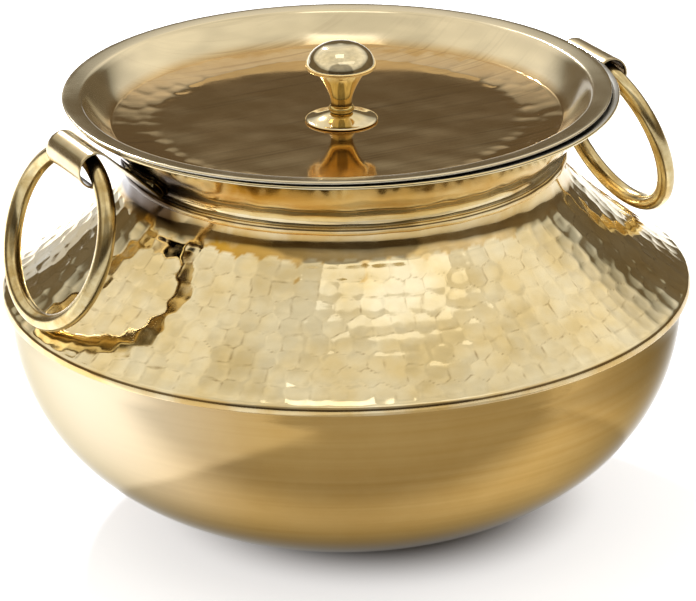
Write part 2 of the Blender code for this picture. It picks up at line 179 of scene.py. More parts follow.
# %% [markdown]
# Four lamps add what the room can't. The panel in front lights the top of the cone, and the one overhead
# the knob's cap and the far flange. The low card far behind shows in reflections only and adds just a trace
# at the flange. The small, strong lamp behind at the left brightens the bowl, the left lug and the left
# ring. It casts the pot's shadow forwards on the floor, and the bowl reflects the shadow's slanting edge.

# %% The lamps
def light_panel(name, place, target, width, depth, radiance, colour, spin=0):
    """A soft rectangular light that faces a point, as bright as the radiance asked for."""
    bpy.ops.object.select_all(action="DESELECT")
    bpy.ops.object.light_add(type="AREA", location=from_view(*place))
    lamp = bpy.context.object
    lamp.name = name
    aim = (from_view(*target) - lamp.location).normalized()
    across = from_view(math.cos(math.radians(spin)), math.sin(math.radians(spin)), 0)
    across = (across - aim * across.dot(aim)).normalized()
    lamp.matrix_world = (Matrix.Translation(lamp.location)
                         @ Matrix((across, -aim.cross(across), -aim)).transposed().to_4x4())
    lamp.data.shape = "RECTANGLE"
    lamp.data.size = width
    lamp.data.size_y = depth
    lamp.data.energy = radiance * math.pi * width * depth
    lamp.data.color = linear(colour)[:3]
    print(name, "gives", round(lamp.data.energy, 1), "W")
    return lamp


light_panel("front_panel", (0.37, -0.58, 1.22), (0.37, -0.58, 0.0), 1.00, 0.42, 0.36, "#eef3ff", spin=16)
light_panel("top_panel", (-0.04, 0.06, 1.30), (-0.04, 0.06, 0.0), 0.34, 0.30, 0.80, "#ffffff")
low_card = light_panel("low_card", (-0.75, 1.85, 0.24), (0.0, 0.0, 0.24), 2.2, 0.40, 0.62, "#e6eeff")
low_card.visible_diffuse = False
light_panel("back_lamp", (-0.62, 1.57, 1.38), (0.0, 0.0, 0.1), 0.15, 0.15, 720.0, "#f4f7ff")

# %% [markdown]
# The floor glows, like a pale sheet lit from below on a product table, so it is near white in the picture: a
# glow painted into its material. The glow fades under the pot, a painted contact shadow. It also fades in
# front of the picture and to its right, where only the bowl's reflection sees it, because the photo's bowl
# reflects a darker floor there.

# %% The floor
bpy.ops.object.select_all(action="DESELECT")
bpy.ops.mesh.primitive_plane_add(size=14, location=(0, 0, 0))
floor = bpy.context.object
floor.name = "floor"
acrylic = bpy.data.materials.new("pale lit acrylic floor")
acrylic.use_nodes = True
pane = acrylic.node_tree.nodes["Principled BSDF"]
pane.inputs["Base Color"].default_value = linear("#e8eaee")
pane.inputs["Roughness"].default_value = 0.9
pane.inputs["Emission Color"].default_value = linear("#ffffff")
floor_point = node(acrylic, "TexCoord").outputs["Object"]
spot = node(acrylic, "Mapping", {"Vector": floor_point}, Location=-from_view(0.014, 0.0, 0))
reach = node(acrylic, "VectorMath", {0: spot}, operation="LENGTH")
# Painted contact shadow: the floor's glow is taken away round the pot's foot.
clear = node(acrylic, "MapRange", {"Value": reach.outputs["Value"]},
             interpolation_type="SMOOTHSTEP", From_Min=0.056, From_Max=0.108, To_Min=0.0, To_Max=0.68)
away = node(acrylic, "VectorMath", {0: spot, 1: from_view(0, 1, 0)}, operation="DOT_PRODUCT")
# Painted dim floor: the glow fades in front of the picture and to its right, for the bowl's reflection.
pool = node(acrylic, "MapRange", {"Value": away.outputs["Value"]},
            interpolation_type="SMOOTHSTEP", From_Min=-0.19, From_Max=-0.112, To_Min=0.06, To_Max=1.0)
rightwards = node(acrylic, "VectorMath", {0: spot, 1: from_view(1, 0, 0)}, operation="DOT_PRODUCT")
margin = node(acrylic, "MapRange", {"Value": rightwards.outputs["Value"]},
              interpolation_type="SMOOTHSTEP", From_Min=0.165, From_Max=0.27, To_Min=1.0, To_Max=0.06)
lit = node(acrylic, "Math", {0: clear, 1: pool}, operation="MULTIPLY")
shown = node(acrylic, "Math", {0: lit, 1: margin}, operation="MULTIPLY")
acrylic.node_tree.links.new(shown.outputs["Value"], pane.inputs["Emission Strength"])
floor.data.materials.append(acrylic)
print("floor is", round(floor.dimensions.x, 1), "m wide")

# %% [markdown]
# ## Drawing and turning
# Nearly every part of a pot like this is spun or turned, so each is drawn as half a section and swept about
# the pot's axis. The line is drawn as by hand, by extruding a vertex again and again. The Spin tool could
# sweep it, but the Screw modifier is quicker for a section with hundreds of points.

# %% Tools for turned pieces
def arc(centre, radius, start, end, count):
    """Points along an arc, angles in degrees, both ends included."""
    angles = np.radians(np.linspace(start, end, count + 1))
    return [(centre[0] + radius * math.cos(a), centre[1] + radius * math.sin(a)) for a in angles]


def offset(points, distance):
    """The line moved to its left by a distance, corners mitred."""
    line = np.array(points, float)
    runs = np.diff(line, axis=0)
    runs /= np.linalg.norm(runs, axis=1)[:, None]
    before = np.vstack([runs[:1], runs])
    after = np.vstack([runs, runs[-1:]])
    normal = np.stack([-before[:, 1] - after[:, 1], before[:, 0] + after[:, 0]], axis=1)
    normal /= np.linalg.norm(normal, axis=1)[:, None]
    reach = distance / (normal[:, 0] * -before[:, 1] + normal[:, 1] * before[:, 0])
    return [tuple(p) for p in line + normal * reach[:, None]]


def end_cap(line, other):
    """A rounded free edge between the two sides of a sheet."""
    middle = (np.array(line[-1]) + np.array(other[-1])) / 2
    half = np.linalg.norm(np.array(line[-1]) - np.array(other[-1])) / 2
    run = np.array(line[-1]) - np.array(line[-2])
    run = run / np.linalg.norm(run)
    across = (np.array(line[-1]) - middle) / half
    return [tuple(middle + half * (math.cos(a) * across + 0.7 * math.sin(a) * run))
            for a in np.radians([30, 60, 90, 120, 150])]


def draw(name, points, y=0.0):
    """A new line in millimetres, drawn by extruding a vertex from point to point."""
    bpy.ops.object.select_all(action="DESELECT")
    bpy.ops.mesh.primitive_plane_add(size=MM)
    piece = bpy.context.object
    piece.name = piece.data.name = name
    bpy.ops.object.mode_set(mode="EDIT")
    bpy.ops.mesh.select_mode(type="VERT")
    bpy.ops.mesh.select_all(action="SELECT")
    bpy.ops.mesh.merge(type="CENTER")
    bpy.ops.transform.translate(value=(points[0][0] * MM, y * MM, points[0][1] * MM))
    for here, there in zip(points, points[1:]):
        step = ((there[0] - here[0]) * MM, 0, (there[1] - here[1]) * MM)
        bpy.ops.mesh.extrude_vertices_move(TRANSFORM_OT_translate={"value": step})
    return piece


def edit_all():
    """Goes into edit mode with everything selected."""
    bpy.ops.object.mode_set(mode="EDIT")
    bpy.ops.mesh.select_all(action="SELECT")


def tidy(piece, sharp=35):
    """Merges doubles, points the faces outwards and shades the piece."""
    edit_all()
    bpy.ops.mesh.remove_doubles(threshold=0.00001)
    bpy.ops.mesh.normals_make_consistent(inside=False)
    bpy.ops.object.mode_set(mode="OBJECT")
    bpy.ops.object.shade_smooth_by_angle(angle=math.radians(sharp))
    print(piece.name, "has", len(piece.data.polygons), "faces")


def add_modifier(piece, kind, **settings):
    """Adds a modifier with its settings and applies it."""
    bpy.ops.object.modifier_add(type=kind)
    step = piece.modifiers[-1]
    for key, value in settings.items():
        setattr(step, key, value)
    bpy.ops.object.modifier_apply(modifier=step.name)


def turn(name, points, steps, centre=(0, 0, 0), sharp=35):
    """A solid turned from half its section, about an upright axis through a centre in millimetres."""
    piece = draw(name, points)
    bpy.ops.object.mode_set(mode="OBJECT")
    add_modifier(piece, "SCREW", angle=math.tau, steps=steps, render_steps=steps, axis="Z",
                 use_merge_vertices=True, merge_threshold=0.00001)
    edit_all()
    bpy.ops.transform.translate(value=Vector(centre) * MM)
    bpy.ops.object.mode_set(mode="OBJECT")
    tidy(piece, sharp)
    return piece


def vertices(piece):
    """All the piece's points, in millimetres."""
    flat = np.empty(len(piece.data.vertices) * 3)
    piece.data.vertices.foreach_get("co", flat)
    return flat.reshape(-1, 3) / MM


def move_vertices(piece, points):
    """Puts the piece's points at new places, in millimetres."""
    piece.data.vertices.foreach_set("co", (points * MM).ravel())
    piece.data.update()


def normals_of(piece):
    """The direction that the surface faces at each point."""
    flat = np.empty(len(piece.data.vertices) * 3)
    piece.data.vertices.foreach_get("normal", flat)
    return flat.reshape(-1, 3)


def keep(piece, name, values):
    """Keeps a number for each point on the mesh, for the finishes to read."""
    kept = piece.data.attributes.new(name, "FLOAT", "POINT")
    kept.data.foreach_set("value", values.astype(np.float32))


def stands_for(piece, body, slot, *nodes):
    """The piece takes the place of plain nodes and moves with their body."""
    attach(piece, body)
    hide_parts(*nodes)


# %% [markdown]
# ## The bowl
# The bowl is one brass disc spun over a former. Its section is fuller than an ellipse at the sides and
# flatter below, so a power a little over 2 stands in its formula. The rim opens slightly where it goes up
# inside the shoulder's band.

# %% Turn the bowl
WALL = 1.5
GAP = 0.3


def bowl_section():
    belly, height, base, power = 156.0, 110.0, 46.0, 2.3
    depth = height / (1 - (base / belly) ** power) ** (1 / power)
    low = math.asin((height / depth) ** (power / 2))
    high = math.asin((6 / depth) ** (power / 2))
    line = [(0.0, 0.0), (24.0, 0.0)]
    for angle in np.linspace(low, high, 46):
        line.append((belly * math.cos(angle) ** (2 / power), height - depth * math.sin(angle) ** (2 / power)))
    rim = 160 - 1.2 * 2.7 / 3.8 - (WALL + GAP) * 1.05
    line += [(rim - 0.05, 108.2), (rim, 109.3), (rim, 112.3)]
    inner = offset(line, WALL)
    return line + end_cap(line, inner) + inner[::-1]


bowl = turn("spun_bowl", bowl_section(), 288)
stands_for(bowl, "pot", "bowl_brass", "bowl")

# %% [markdown]
# ## The hammered shoulder
# The upper body is raised from a second sheet: a narrow band laps over the bowl, a cone leads in to a cove,
# and a bead marks the foot of the flared collar. The section is drawn from those arcs and turned. The cone
# is slightly hollow, because the photo's reflections run as they would in a hollow one.

# %% Turn the shoulder, cove, bead, collar and lip
CONE_SAG = 2.1
COVE_CENTRE = np.array([118.0, 170.3])
COVE_RADIUS = 17.0
COLLAR_CENTRE = np.array([109.3, 174.5])
COLLAR_FILLET = 9.0
LIP_BOTTOM = 200.7
LIP_BEND = 5.0


def upper_sections():
    foot = np.array([158.8, 113.4])
    gap = COVE_CENTRE - foot
    reach = math.sqrt(gap @ gap - COVE_RADIUS ** 2)
    lean = math.atan2(gap[1], gap[0]) + math.asin(COVE_RADIUS / math.hypot(*gap))
    head = foot + reach * np.array([math.cos(lean), math.sin(lean)])
    band = [(159.75, 109.6), (159.9, 110.5), (159.7, 111.8), (159.3, 112.8)]
    run = (head - foot) / reach
    cone = [tuple(foot + (head - foot) * t - CONE_SAG * 4 * t * (1 - t) * np.array([run[1], -run[0]]))
            for t in np.linspace(0, 1, 65)]
    start = math.degrees(math.atan2(*(head - COVE_CENTRE)[::-1])) % 360
    line = band + cone + arc(COVE_CENTRE, COVE_RADIUS, start, 180, 12)[1:]
    line += arc((100.36, 172.4), 2.44, -60, 60, 8)
    line += arc(COLLAR_CENTRE, COLLAR_FILLET, 180, 135, 8)
    last = line[-1]
    climb = LIP_BOTTOM - LIP_BEND * (1 - math.cos(math.radians(45))) - last[1]
    line += [(last[0] + climb * t, last[1] + climb * t) for t in (0.33, 0.66)]
    bend = (last[0] + climb + LIP_BEND * math.sin(math.radians(45)), LIP_BOTTOM - LIP_BEND)
    line += arc(bend, LIP_BEND, 135, 90, 6) + [(126.0, LIP_BOTTOM)]
    return line, foot, head


upper_line, cone_foot, cone_head = upper_sections()
upper_inner = offset(upper_line[:-1:4] + [upper_line[-1]], WALL)
upper_outline = upper_line + end_cap(upper_line, upper_inner) + upper_inner[::-1]
upper_outline += end_cap(upper_inner[::-1], upper_line[::-1]) + [upper_line[0]]
body = turn("hammered_body", upper_outline, 600, sharp=40)
stands_for(body, "pot", "body_brass", "upper_body")

# %% [markdown]
# The cone is planished by hand: a round-faced hammer is struck in rows about 9 mm apart, and each blow
# leaves a shallow cup. A point's height is that of the lowest cup over it. A cup rises faster and faster
# away from its blow, so cups that meet leave a crisp low ridge. It is real shape and not only a bump,
# because the ridges show in every reflection. In sculpt mode it would be nearly 700 strokes, so the same
# moves are made by rule here.

# %% Tools for hammer marks and handmade unevenness
from mathutils import noise

chance = np.random.default_rng(7)


def blow_row(place, count, depth_spread):
    """One row of blows: bearings, places, depths and tilts."""
    bearing = (np.arange(count) + chance.random() + chance.normal(0, 0.10, count)) * math.tau / count
    return (np.sort(bearing % math.tau), place + chance.normal(0, 0.5, count),
            chance.normal(0, depth_spread, count), chance.normal(0, 0.012, (count, 2)))


def marks(along, bearing, radius, rows, reach, depth):
    """How high the surface stands above the marks' floors, and how near each point is to a ridge."""
    lowest = np.full(len(along), 9.0)
    second = np.full(len(along), 9.0)
    for bearings, places, depths, tilts in rows:
        near = np.searchsorted(bearings, bearing)
        for shift in (-2, -1, 0, 1):
            which = (near + shift) % len(bearings)
            across = ((bearing - bearings[which] + math.pi) % math.tau - math.pi) * radius
            up = along - places[which]
            share = (across ** 2 + up ** 2) / reach ** 2
            cup = depth * (0.55 * share + 0.45 * share ** 3) + depths[which]
            cup += tilts[which, 0] * across + tilts[which, 1] * up
            second = np.minimum(second, np.maximum(lowest, cup))
            lowest = np.minimum(lowest, cup)
    return lowest, 1 - np.clip((second - lowest) / (0.45 * depth), 0, 1)


def uneven(piece, height, pitch, where):
    """Moves the surface in and out by a smooth noise, as far as a weight between 0 and 1 allows."""
    points = vertices(piece)
    normals = normals_of(piece)
    radius = np.hypot(points[:, 0], points[:, 1])
    weight = where(radius, points[:, 2])
    touched = np.flatnonzero(weight > 0)
    wave = np.zeros(len(points))
    for index in touched:
        wave[index] = noise.noise(Vector(points[index]) / pitch)
    reach = radius[:, None].clip(1)
    outer = np.sign(normals[:, :1] * points[:, :1] / reach + normals[:, 1:2] * points[:, 1:2] / reach + 0.001)
    facing = normals * outer
    moved = height * weight * wave
    move_vertices(piece, points + facing * moved[:, None])
    print(piece.name, "is uneven at", len(touched), "points by up to", round(abs(moved).max(), 2), "mm")


# %% Strike the cone
MARK_REACH = 6.3
MARK_DEPTH = 0.34
ROW_PITCH = 8.6
MARK_WIDTH = 9.8
FIRST_ROW = 2.2


def strike_cone(piece):
    points = vertices(piece)
    radius = np.hypot(points[:, 0], points[:, 1])
    length = np.linalg.norm(cone_head - cone_foot)
    run = (cone_head - cone_foot) / length
    from_foot = np.stack([radius, points[:, 2]], axis=1) - cone_foot
    along = from_foot @ run
    above = from_foot @ np.array([run[1], -run[0]])
    cove_gap = np.abs(np.hypot(radius - COVE_CENTRE[0], points[:, 2] - COVE_CENTRE[1]) - COVE_RADIUS)
    struck = (above > -2.2) & (above < 0.05) & (along > 0) & (along < length)
    struck |= (cove_gap < 0.05) & (along > length - 1) & (along < length + 6)
    rows = []
    for row in range(int(length / ROW_PITCH) + 1):
        place = length - FIRST_ROW - row * ROW_PITCH
        rows.append(blow_row(place, round(math.tau * (cone_foot[0] + run[0] * place) / MARK_WIDTH), 0.035))
    bearing = np.arctan2(points[:, 1], points[:, 0]) % math.tau
    height, near_ridge = marks(along[struck], bearing[struck], radius[struck], rows, MARK_REACH, MARK_DEPTH)
    sink = MARK_DEPTH - np.clip(height, 0, MARK_DEPTH)
    sink *= np.clip(along[struck] / 1.5, 0, 1)
    points[struck, 0] -= run[1] * sink * np.cos(bearing[struck])
    points[struck, 1] -= run[1] * sink * np.sin(bearing[struck])
    points[struck, 2] += run[0] * sink
    move_vertices(piece, points)
    ridge = np.zeros(len(points))
    ridge[struck] = near_ridge * np.clip((1.0 - height / MARK_DEPTH) / 0.2, 0, 1)
    keep(piece, "ridge", ridge)
    beyond = ((points[:, 2] > cone_head[1]) & (radius < 116)).astype(float)
    beyond[struck] = np.clip((height / MARK_DEPTH - 0.85) / 0.2, 0, 1) * (along[struck] > length - 8)
    blows = sum(len(row[0]) for row in rows)
    print("struck", blows, "marks in", len(rows), "rows, deepest", round(sink.max(), 2), "mm")
    return beyond


past_the_marks = strike_cone(body)
uneven(body, 0.35, 13.0, lambda r, z: np.clip((z - 158) / 3, 0, 1) * np.clip((199 - z) / 3, 0, 1))
uneven(body, 0.08, 9.0, lambda r, z: ((z < 113.5) & (z > 109.7)) * 1.0)

# %% [markdown]
# ## The lid
# The lid is a shallow dish: a flat disc, a steep wall and a narrow flange that lies on the collar's lip. It
# sits a little to the left, as in the photo. The disc was flattened with a hammer near its edge, so it gets
# a ring of very shallow marks there.

# %% Turn the lid
LID_SHIFT, KNOB_SHIFT, SHIFT_BEARING = 2.8, 2.0, math.radians(153)
LID_CENTRE = (LID_SHIFT * math.cos(SHIFT_BEARING), LID_SHIFT * math.sin(SHIFT_BEARING), 0)
LID_RADIUS, LID_WALL, FLANGE_WIDTH = 125.7, 1.2, 8.5
DISC_HEIGHT = 188.6
DISC_FLAT = 86.0
DISC_EDGE = 104
DISC_RISE = 2.2


def lid_section():
    top = LIP_BOTTOM + WALL + GAP + LID_WALL
    inner = LID_RADIUS - FLANGE_WIDTH
    line = [(0.0, DISC_HEIGHT)] + [(float(r), DISC_HEIGHT) for r in np.arange(2, DISC_FLAT, 2)]
    for r in np.arange(DISC_FLAT, 103.6, 1.2):
        share = (r - DISC_FLAT) / (DISC_EDGE - DISC_FLAT)
        line.append((float(r), DISC_HEIGHT + DISC_RISE * share ** 1.25))
    line += arc((102.8, DISC_HEIGHT + DISC_RISE + 1.5), 1.7, -82, -48, 4)
    start = line[-1]
    end = (inner - 1.1, top - 1.1)
    for t in np.linspace(0, 1, 9)[1:-1]:
        line.append((start[0] + (end[0] - start[0]) * t,
                     start[1] + (end[1] - start[1]) * t - 0.8 * math.sin(math.pi * t)))
    line += [end, (inner - 0.35, top - 0.45), (inner + 0.3, top - 0.12), (inner + 1.1, top)]
    line += [(120.5, top + 0.2), (123.0, top + 0.42), (124.7, top + 0.5), (125.3, top + 0.45)]
    under = offset(line, -LID_WALL)
    return line[::-1], under[::-1]


lid_top, lid_under = lid_section()
lid_outline = lid_top[::-1] + end_cap(lid_top[::-1], lid_under[::-1]) + lid_under
lid = turn("dished_lid", lid_outline, 320, LID_CENTRE, sharp=40)
stands_for(lid, "cover", "lid_brass", "lid")


PLANISH_REACH, PLANISH_DEPTH = 6.5, 0.14


def planish_disc(piece):
    points = vertices(piece)
    apart = points - np.array(LID_CENTRE)
    radius = np.hypot(apart[:, 0], apart[:, 1])
    struck = (radius > 80) & (radius < 103.6) & (normals_of(piece)[:, 2] > 0.9)
    rows = [blow_row(88.5, 50, 0.02), blow_row(97.0, 58, 0.02)]
    bearing = np.arctan2(apart[:, 1], apart[:, 0]) % math.tau
    height, _ = marks(radius[struck], bearing[struck], radius[struck], rows, PLANISH_REACH, PLANISH_DEPTH)
    points[struck, 2] -= PLANISH_DEPTH - np.clip(height, 0, PLANISH_DEPTH)
    move_vertices(piece, points)
    print("planished", struck.sum(), "points of the disc's edge")


planish_disc(lid)
uneven(lid, 0.05, 14.0, lambda r, z: np.clip((r - 18) / 5, 0, 1) * np.clip((103 - r) / 4, 0, 1))
uneven(lid, 0.22, 24.0, lambda r, z: np.clip((r - 104) / 4, 0, 1) * np.clip((118 - r) / 2, 0, 1))

# %% [markdown]
# ## The knob
# The knob is turned from bar: a domed cap on a cup, a waisted neck and a bead. A trumpet-shaped foot lies
# under it, and a screw from below holds both. All four are turned about one axis near the pot's own.

# %% Turn the knob, its foot, the screw and the washer
KNOB_CENTRE = (LID_CENTRE[0] - KNOB_SHIFT * math.cos(SHIFT_BEARING),
               LID_CENTRE[1] - KNOB_SHIFT * math.sin(SHIFT_BEARING), DISC_HEIGHT)


def smooth(points, count=6):
    """A smooth curve through a few points, for the swells of a turned piece."""
    line = np.array(points, float)
    ends = np.vstack([2 * line[0] - line[1], line, 2 * line[-1] - line[-2]])
    curve = []
    for a, b, c, d in zip(ends, ends[1:], ends[2:], ends[3:]):
        for t in np.linspace(0, 1, count, endpoint=False):
            curve.append(tuple(0.5 * (2 * b + (c - a) * t + (2 * a - 5 * b + 4 * c - d) * t ** 2
                                      + (3 * b - a - 3 * c + d) * t ** 3)))
    return curve + [tuple(line[-1])]


knob_line = [(0.0, 16.3), (2.8, 13.8), (2.8, 4.4), (5.1, 4.4)]
knob_line += arc((4.45, 5.85), 1.45, -60, 70, 8)
knob_line += smooth([(4.9, 7.5), (4.9, 9.4), (5.5, 12.5), (7.4, 17.0), (9.8, 21.2), (11.9, 23.8),
                     (12.2, 24.4)])
knob_line += smooth([(12.6, 24.6), (13.9, 24.7), (15.5, 25.1), (16.15, 26.2), (15.7, 28.6), (13.9, 31.9),
                     (10.8, 34.6), (6.6, 36.4), (0.0, 36.99)])
knob = turn("turned_knob", knob_line, 96, KNOB_CENTRE, sharp=50)
stands_for(knob, "cover", "knob_brass", "knob")

foot_line = [(2.8, 0.3), (16.3, 0.3), (16.6, 0.55), (16.66, 0.85), (16.4, 1.15)]
foot_line += smooth([(15.9, 1.35), (12.5, 2.1), (8.9, 3.2), (6.6, 3.8), (5.4, 4.05), (5.1, 4.1)])
foot_line += [(2.8, 4.1), (2.8, 0.3)]
knob_foot = turn("trumpet_foot", foot_line, 96, KNOB_CENTRE, sharp=50)
stands_for(knob_foot, "cover", "knob_brass", "knob_foot")

screw_line = [(0.0, -4.4), (1.6, -4.4), (1.6, -5.2), (2.6, -5.2), (3.9, -4.9), (4.5, -4.0), (4.5, -2.8)]
screw_line += [(2.5, -2.8)]
# Ribs 0.8 mm apart stand for the screw's thread.
screw_line += [(2.5 - 0.3 * (i % 2), -2.8 + 0.4 * i) for i in range(1, 40)] + [(1.9, 13.5), (0.0, 13.5)]
knob_screw = turn("pan_head_screw", screw_line, 48, KNOB_CENTRE, sharp=30)
stands_for(knob_screw, "cover", "screw_steel", "knob_screw")

washer_line = [(2.8, -2.4), (6.3, -2.5), (6.5, -2.3), (6.5, -1.7), (6.3, -1.5), (2.8, -1.5), (2.8, -2.4)]
washer = turn("plain_washer", washer_line, 48, KNOB_CENTRE, sharp=30)
stands_for(washer, "cover", "screw_steel", "knob_washer")

# %% [markdown]
# ## The lugs
# Each lug is a strip of sheet rolled round the ring at one end. The strip comes down to the foot of the
# collar, folds, and its tab wraps round the collar under two rivets. Its edge is drawn as a line, pulled
# out to the strip's width, and given the sheet's thickness by the Solidify modifier.

# %% Draw, widen and bend one lug
LUG_REACH, LUG_HEIGHT, LUG_WIDTH, ROLL_RADIUS = 132.0, 193.0, 36.0, 7.5
LUG_WALL = 0.9
STRIPS = 18


def lug_section():
    roll = np.array([LUG_REACH, LUG_HEIGHT])
    fold_way, tab_radius, fold_radius = math.radians(14), COLLAR_FILLET - GAP, 1.6
    fold = COLLAR_CENTRE + np.array([-math.cos(fold_way), math.sin(fold_way)]) * (tab_radius - fold_radius)
    gap = roll - fold
    tangent = math.asin((fold_radius + ROLL_RADIUS) / math.hypot(*gap))
    lean = math.degrees(math.atan2(gap[1], gap[0]) + tangent)
    line = arc(roll, ROLL_RADIUS, -88, lean + 90, 36)
    wrap_from = len(line)
    bend = arc(fold, fold_radius, lean - 90, -194, 8)
    line += [tuple(np.array(line[-1]) * (1 - t) + np.array(bend[0]) * t) for t in (0.25, 0.5, 0.75)]
    line += bend + arc(COLLAR_CENTRE, tab_radius, 166, 135, 5)[1:]
    end, slope = line[-1], math.radians(45)
    line.append((end[0] + 2.2 * math.sin(slope), end[1] + 2.2 * math.cos(slope)))
    return line, wrap_from


def make_lug(name):
    line, wrap_from = lug_section()
    piece = draw(name, line, y=-LUG_WIDTH / 2)
    for _ in range(STRIPS):
        bpy.ops.mesh.select_all(action="DESELECT")
        bpy.ops.object.mode_set(mode="OBJECT")
        furthest = max(v.co.y for v in piece.data.vertices)
        for v in piece.data.vertices:
            v.select = v.co.y > furthest - 0.01 * MM
        for e in piece.data.edges:
            e.select = all(piece.data.vertices[i].select for i in e.vertices)
        bpy.ops.object.mode_set(mode="EDIT")
        bpy.ops.mesh.extrude_region_move(TRANSFORM_OT_translate={"value": (0, LUG_WIDTH / STRIPS * MM, 0)})
    bpy.ops.mesh.select_all(action="SELECT")
    bpy.ops.mesh.normals_make_consistent(inside=False)
    bpy.ops.object.mode_set(mode="OBJECT")
    points = vertices(piece)
    flat = np.array(line)
    apart = np.hypot(points[:, None, 0] - flat[None, :, 0], points[:, None, 2] - flat[None, :, 1])
    which = np.argmin(apart, axis=1)
    wrap = np.clip((which - wrap_from + 1) / 2, 0, 1)
    points[:, 0] += (np.sqrt(points[:, 0] ** 2 - points[:, 1] ** 2) - points[:, 0]) * wrap
    move_vertices(piece, points)
    return piece


def pick(piece):
    """Makes the piece the only one selected."""
    bpy.ops.object.select_all(action="DESELECT")
    piece.select_set(True)
    bpy.context.view_layer.objects.active = piece


def thicken(piece, thickness, edge):
    """Gives a sheet its thickness on its outer side and rounds its edges."""
    pick(piece)
    add_modifier(piece, "SOLIDIFY", thickness=thickness * MM, offset=1.0, use_even_offset=True)
    add_modifier(piece, "BEVEL", width=edge * MM, segments=2, limit_method="ANGLE",
                 angle_limit=math.radians(40))
    tidy(piece, 40)


def other_side(piece, name):
    """A copy with its own mesh, turned half round about the pot's axis."""
    pick(piece)
    bpy.ops.object.duplicate()
    copy = bpy.context.object
    copy.name = copy.data.name = name
    edit_all()
    bpy.ops.transform.rotate(value=math.pi, orient_axis="Z", center_override=(0, 0, 0))
    bpy.ops.object.mode_set(mode="OBJECT")
    return copy


right_lug = make_lug("right_sheet_lug")
middle = Vector((LUG_REACH, 0, LUG_HEIGHT)) * MM
rolled_faces = [face for face in right_lug.data.polygons
                if (face.center - middle).xz.length < 1.02 * ROLL_RADIUS * MM]
outward = sum(face.normal.dot(face.center - middle) for face in rolled_faces)
if outward < 0:
    right_lug.data.flip_normals()
print(len(rolled_faces), "faces of the roll point", "inwards and are flipped" if outward < 0 else "outwards")
thicken(right_lug, LUG_WALL, 0.18)
left_lug = other_side(right_lug, "left_sheet_lug")
stands_for(right_lug, "pot", "handle_brass", "right_lug")
stands_for(left_lug, "pot", "handle_brass", "left_lug")

# %% [markdown]
# ## The rings
# A ring is a straight rod bent round and brazed shut. The rod's section is a circle, and the Spin tool
# carries it once round the ring's middle. It hangs in its lug and leans on the cone, so it tips outward by
# the angle at which the rod just meets the cone.

# %% Spin the rings
RING_RADIUS, ROD_RADIUS, RING_RISE, RING_SKEW = 39.0, 4.1, 2.6, 5.0


def ring_lean():
    run = (cone_head - cone_foot) / np.linalg.norm(cone_head - cone_foot)
    outward = np.array([run[1], -run[0]])
    hinge = (np.array([LUG_REACH, LUG_HEIGHT]) - cone_foot) @ outward
    reach = 2 * RING_RADIUS - RING_RISE
    return math.atan2(outward[1], outward[0]) + math.asin((ROD_RADIUS + GAP - hinge) / reach)


def make_ring(name):
    bpy.ops.object.select_all(action="DESELECT")
    bpy.ops.mesh.primitive_circle_add(vertices=36, radius=ROD_RADIUS * MM, location=(0, RING_RADIUS * MM, 0))
    piece = bpy.context.object
    piece.name = piece.data.name = name
    bpy.ops.object.transform_apply()
    edit_all()
    bpy.ops.mesh.spin(steps=180, angle=math.tau, center=(0, 0, 0), axis=(1, 0, 0))
    bpy.ops.mesh.select_all(action="SELECT")
    bpy.ops.transform.translate(value=(0, 0, (RING_RISE - RING_RADIUS) * MM))
    bpy.ops.transform.rotate(value=-math.radians(RING_SKEW), orient_axis="Z", center_override=(0, 0, 0))
    bpy.ops.transform.rotate(value=ring_lean(), orient_axis="Y", center_override=(0, 0, 0))
    bpy.ops.mesh.select_all(action="SELECT")
    bpy.ops.transform.translate(value=(LUG_REACH * MM, 0, LUG_HEIGHT * MM))
    bpy.ops.object.mode_set(mode="OBJECT")
    tidy(piece, 60)
    return piece


right_ring = make_ring("right_rod_ring")
left_ring = other_side(right_ring, "left_rod_ring")
stands_for(right_ring, "right_handle", "handle_brass", "right_ring")
stands_for(left_ring, "left_handle", "handle_brass", "left_ring")
for name, piece in (("right_ring", right_ring), ("left_ring", left_ring)):
    low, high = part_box(name)
    corners = vertices(piece)
    print(name, "plain", [round(v / MM, 1) for v in (*low, *high)],
          "new", [round(v, 1) for v in (*corners.min(0), *corners.max(0))])

# %% [markdown]
# ## The rivets
# Two rivets hold each tab. A rivet is turned like the rest, then laid over until it points along the
# collar's wall, where a real one would be set.

# %% Turn the rivets and set them
HALF_SPACING = 11


def make_rivet(name, way):
    under = GAP + LUG_WALL + GAP + 0.31
    line = [(0.0, -2.75), (1.3, -2.7), (1.9, -2.4), (2.2, -1.95), (2.2, -1.8), (1.5, -1.8), (1.5, under)]
    line += [(2.2, under), (2.2, under + 0.2), (1.95, under + 0.75), (1.4, under + 1.15), (0.7, under + 1.36),
             (0.0, under + 1.4)]
    piece = turn(name, line, 32, sharp=50)
    slope = math.radians(37)
    radius = COLLAR_CENTRE[0] - COLLAR_FILLET * math.cos(slope)
    height = COLLAR_CENTRE[1] + COLLAR_FILLET * math.sin(slope)
    bearing = way * math.asin(HALF_SPACING / radius)
    seat = (radius * MM * math.cos(bearing), radius * MM * math.sin(bearing), height * MM)
    piece.matrix_world = (Matrix.Translation(seat) @ Matrix.Rotation(bearing, 4, "Z")
                          @ Matrix.Rotation(math.pi / 2 + slope, 4, "Y"))
    bpy.ops.object.transform_apply()
    return piece


for end, way in (("near", -1), ("far", 1)):
    right = make_rivet("right_rivet_head_" + end, way)
    left = other_side(right, "left_rivet_head_" + end)
    stands_for(right, "pot", "handle_brass", "right_rivet_" + end)
    stands_for(left, "pot", "handle_brass", "left_rivet_" + end)

# %% [markdown]
# ## The finishes
# All the brass is one yellow brass, worked six ways: hammered, spun, rolled, turned, drawn and cut. What
# differs is how sharp its reflections are and which way its fine lines run. A noise's scale counts its
# patterns in a metre, so a thousand over the scale is the pattern's size in millimetres.

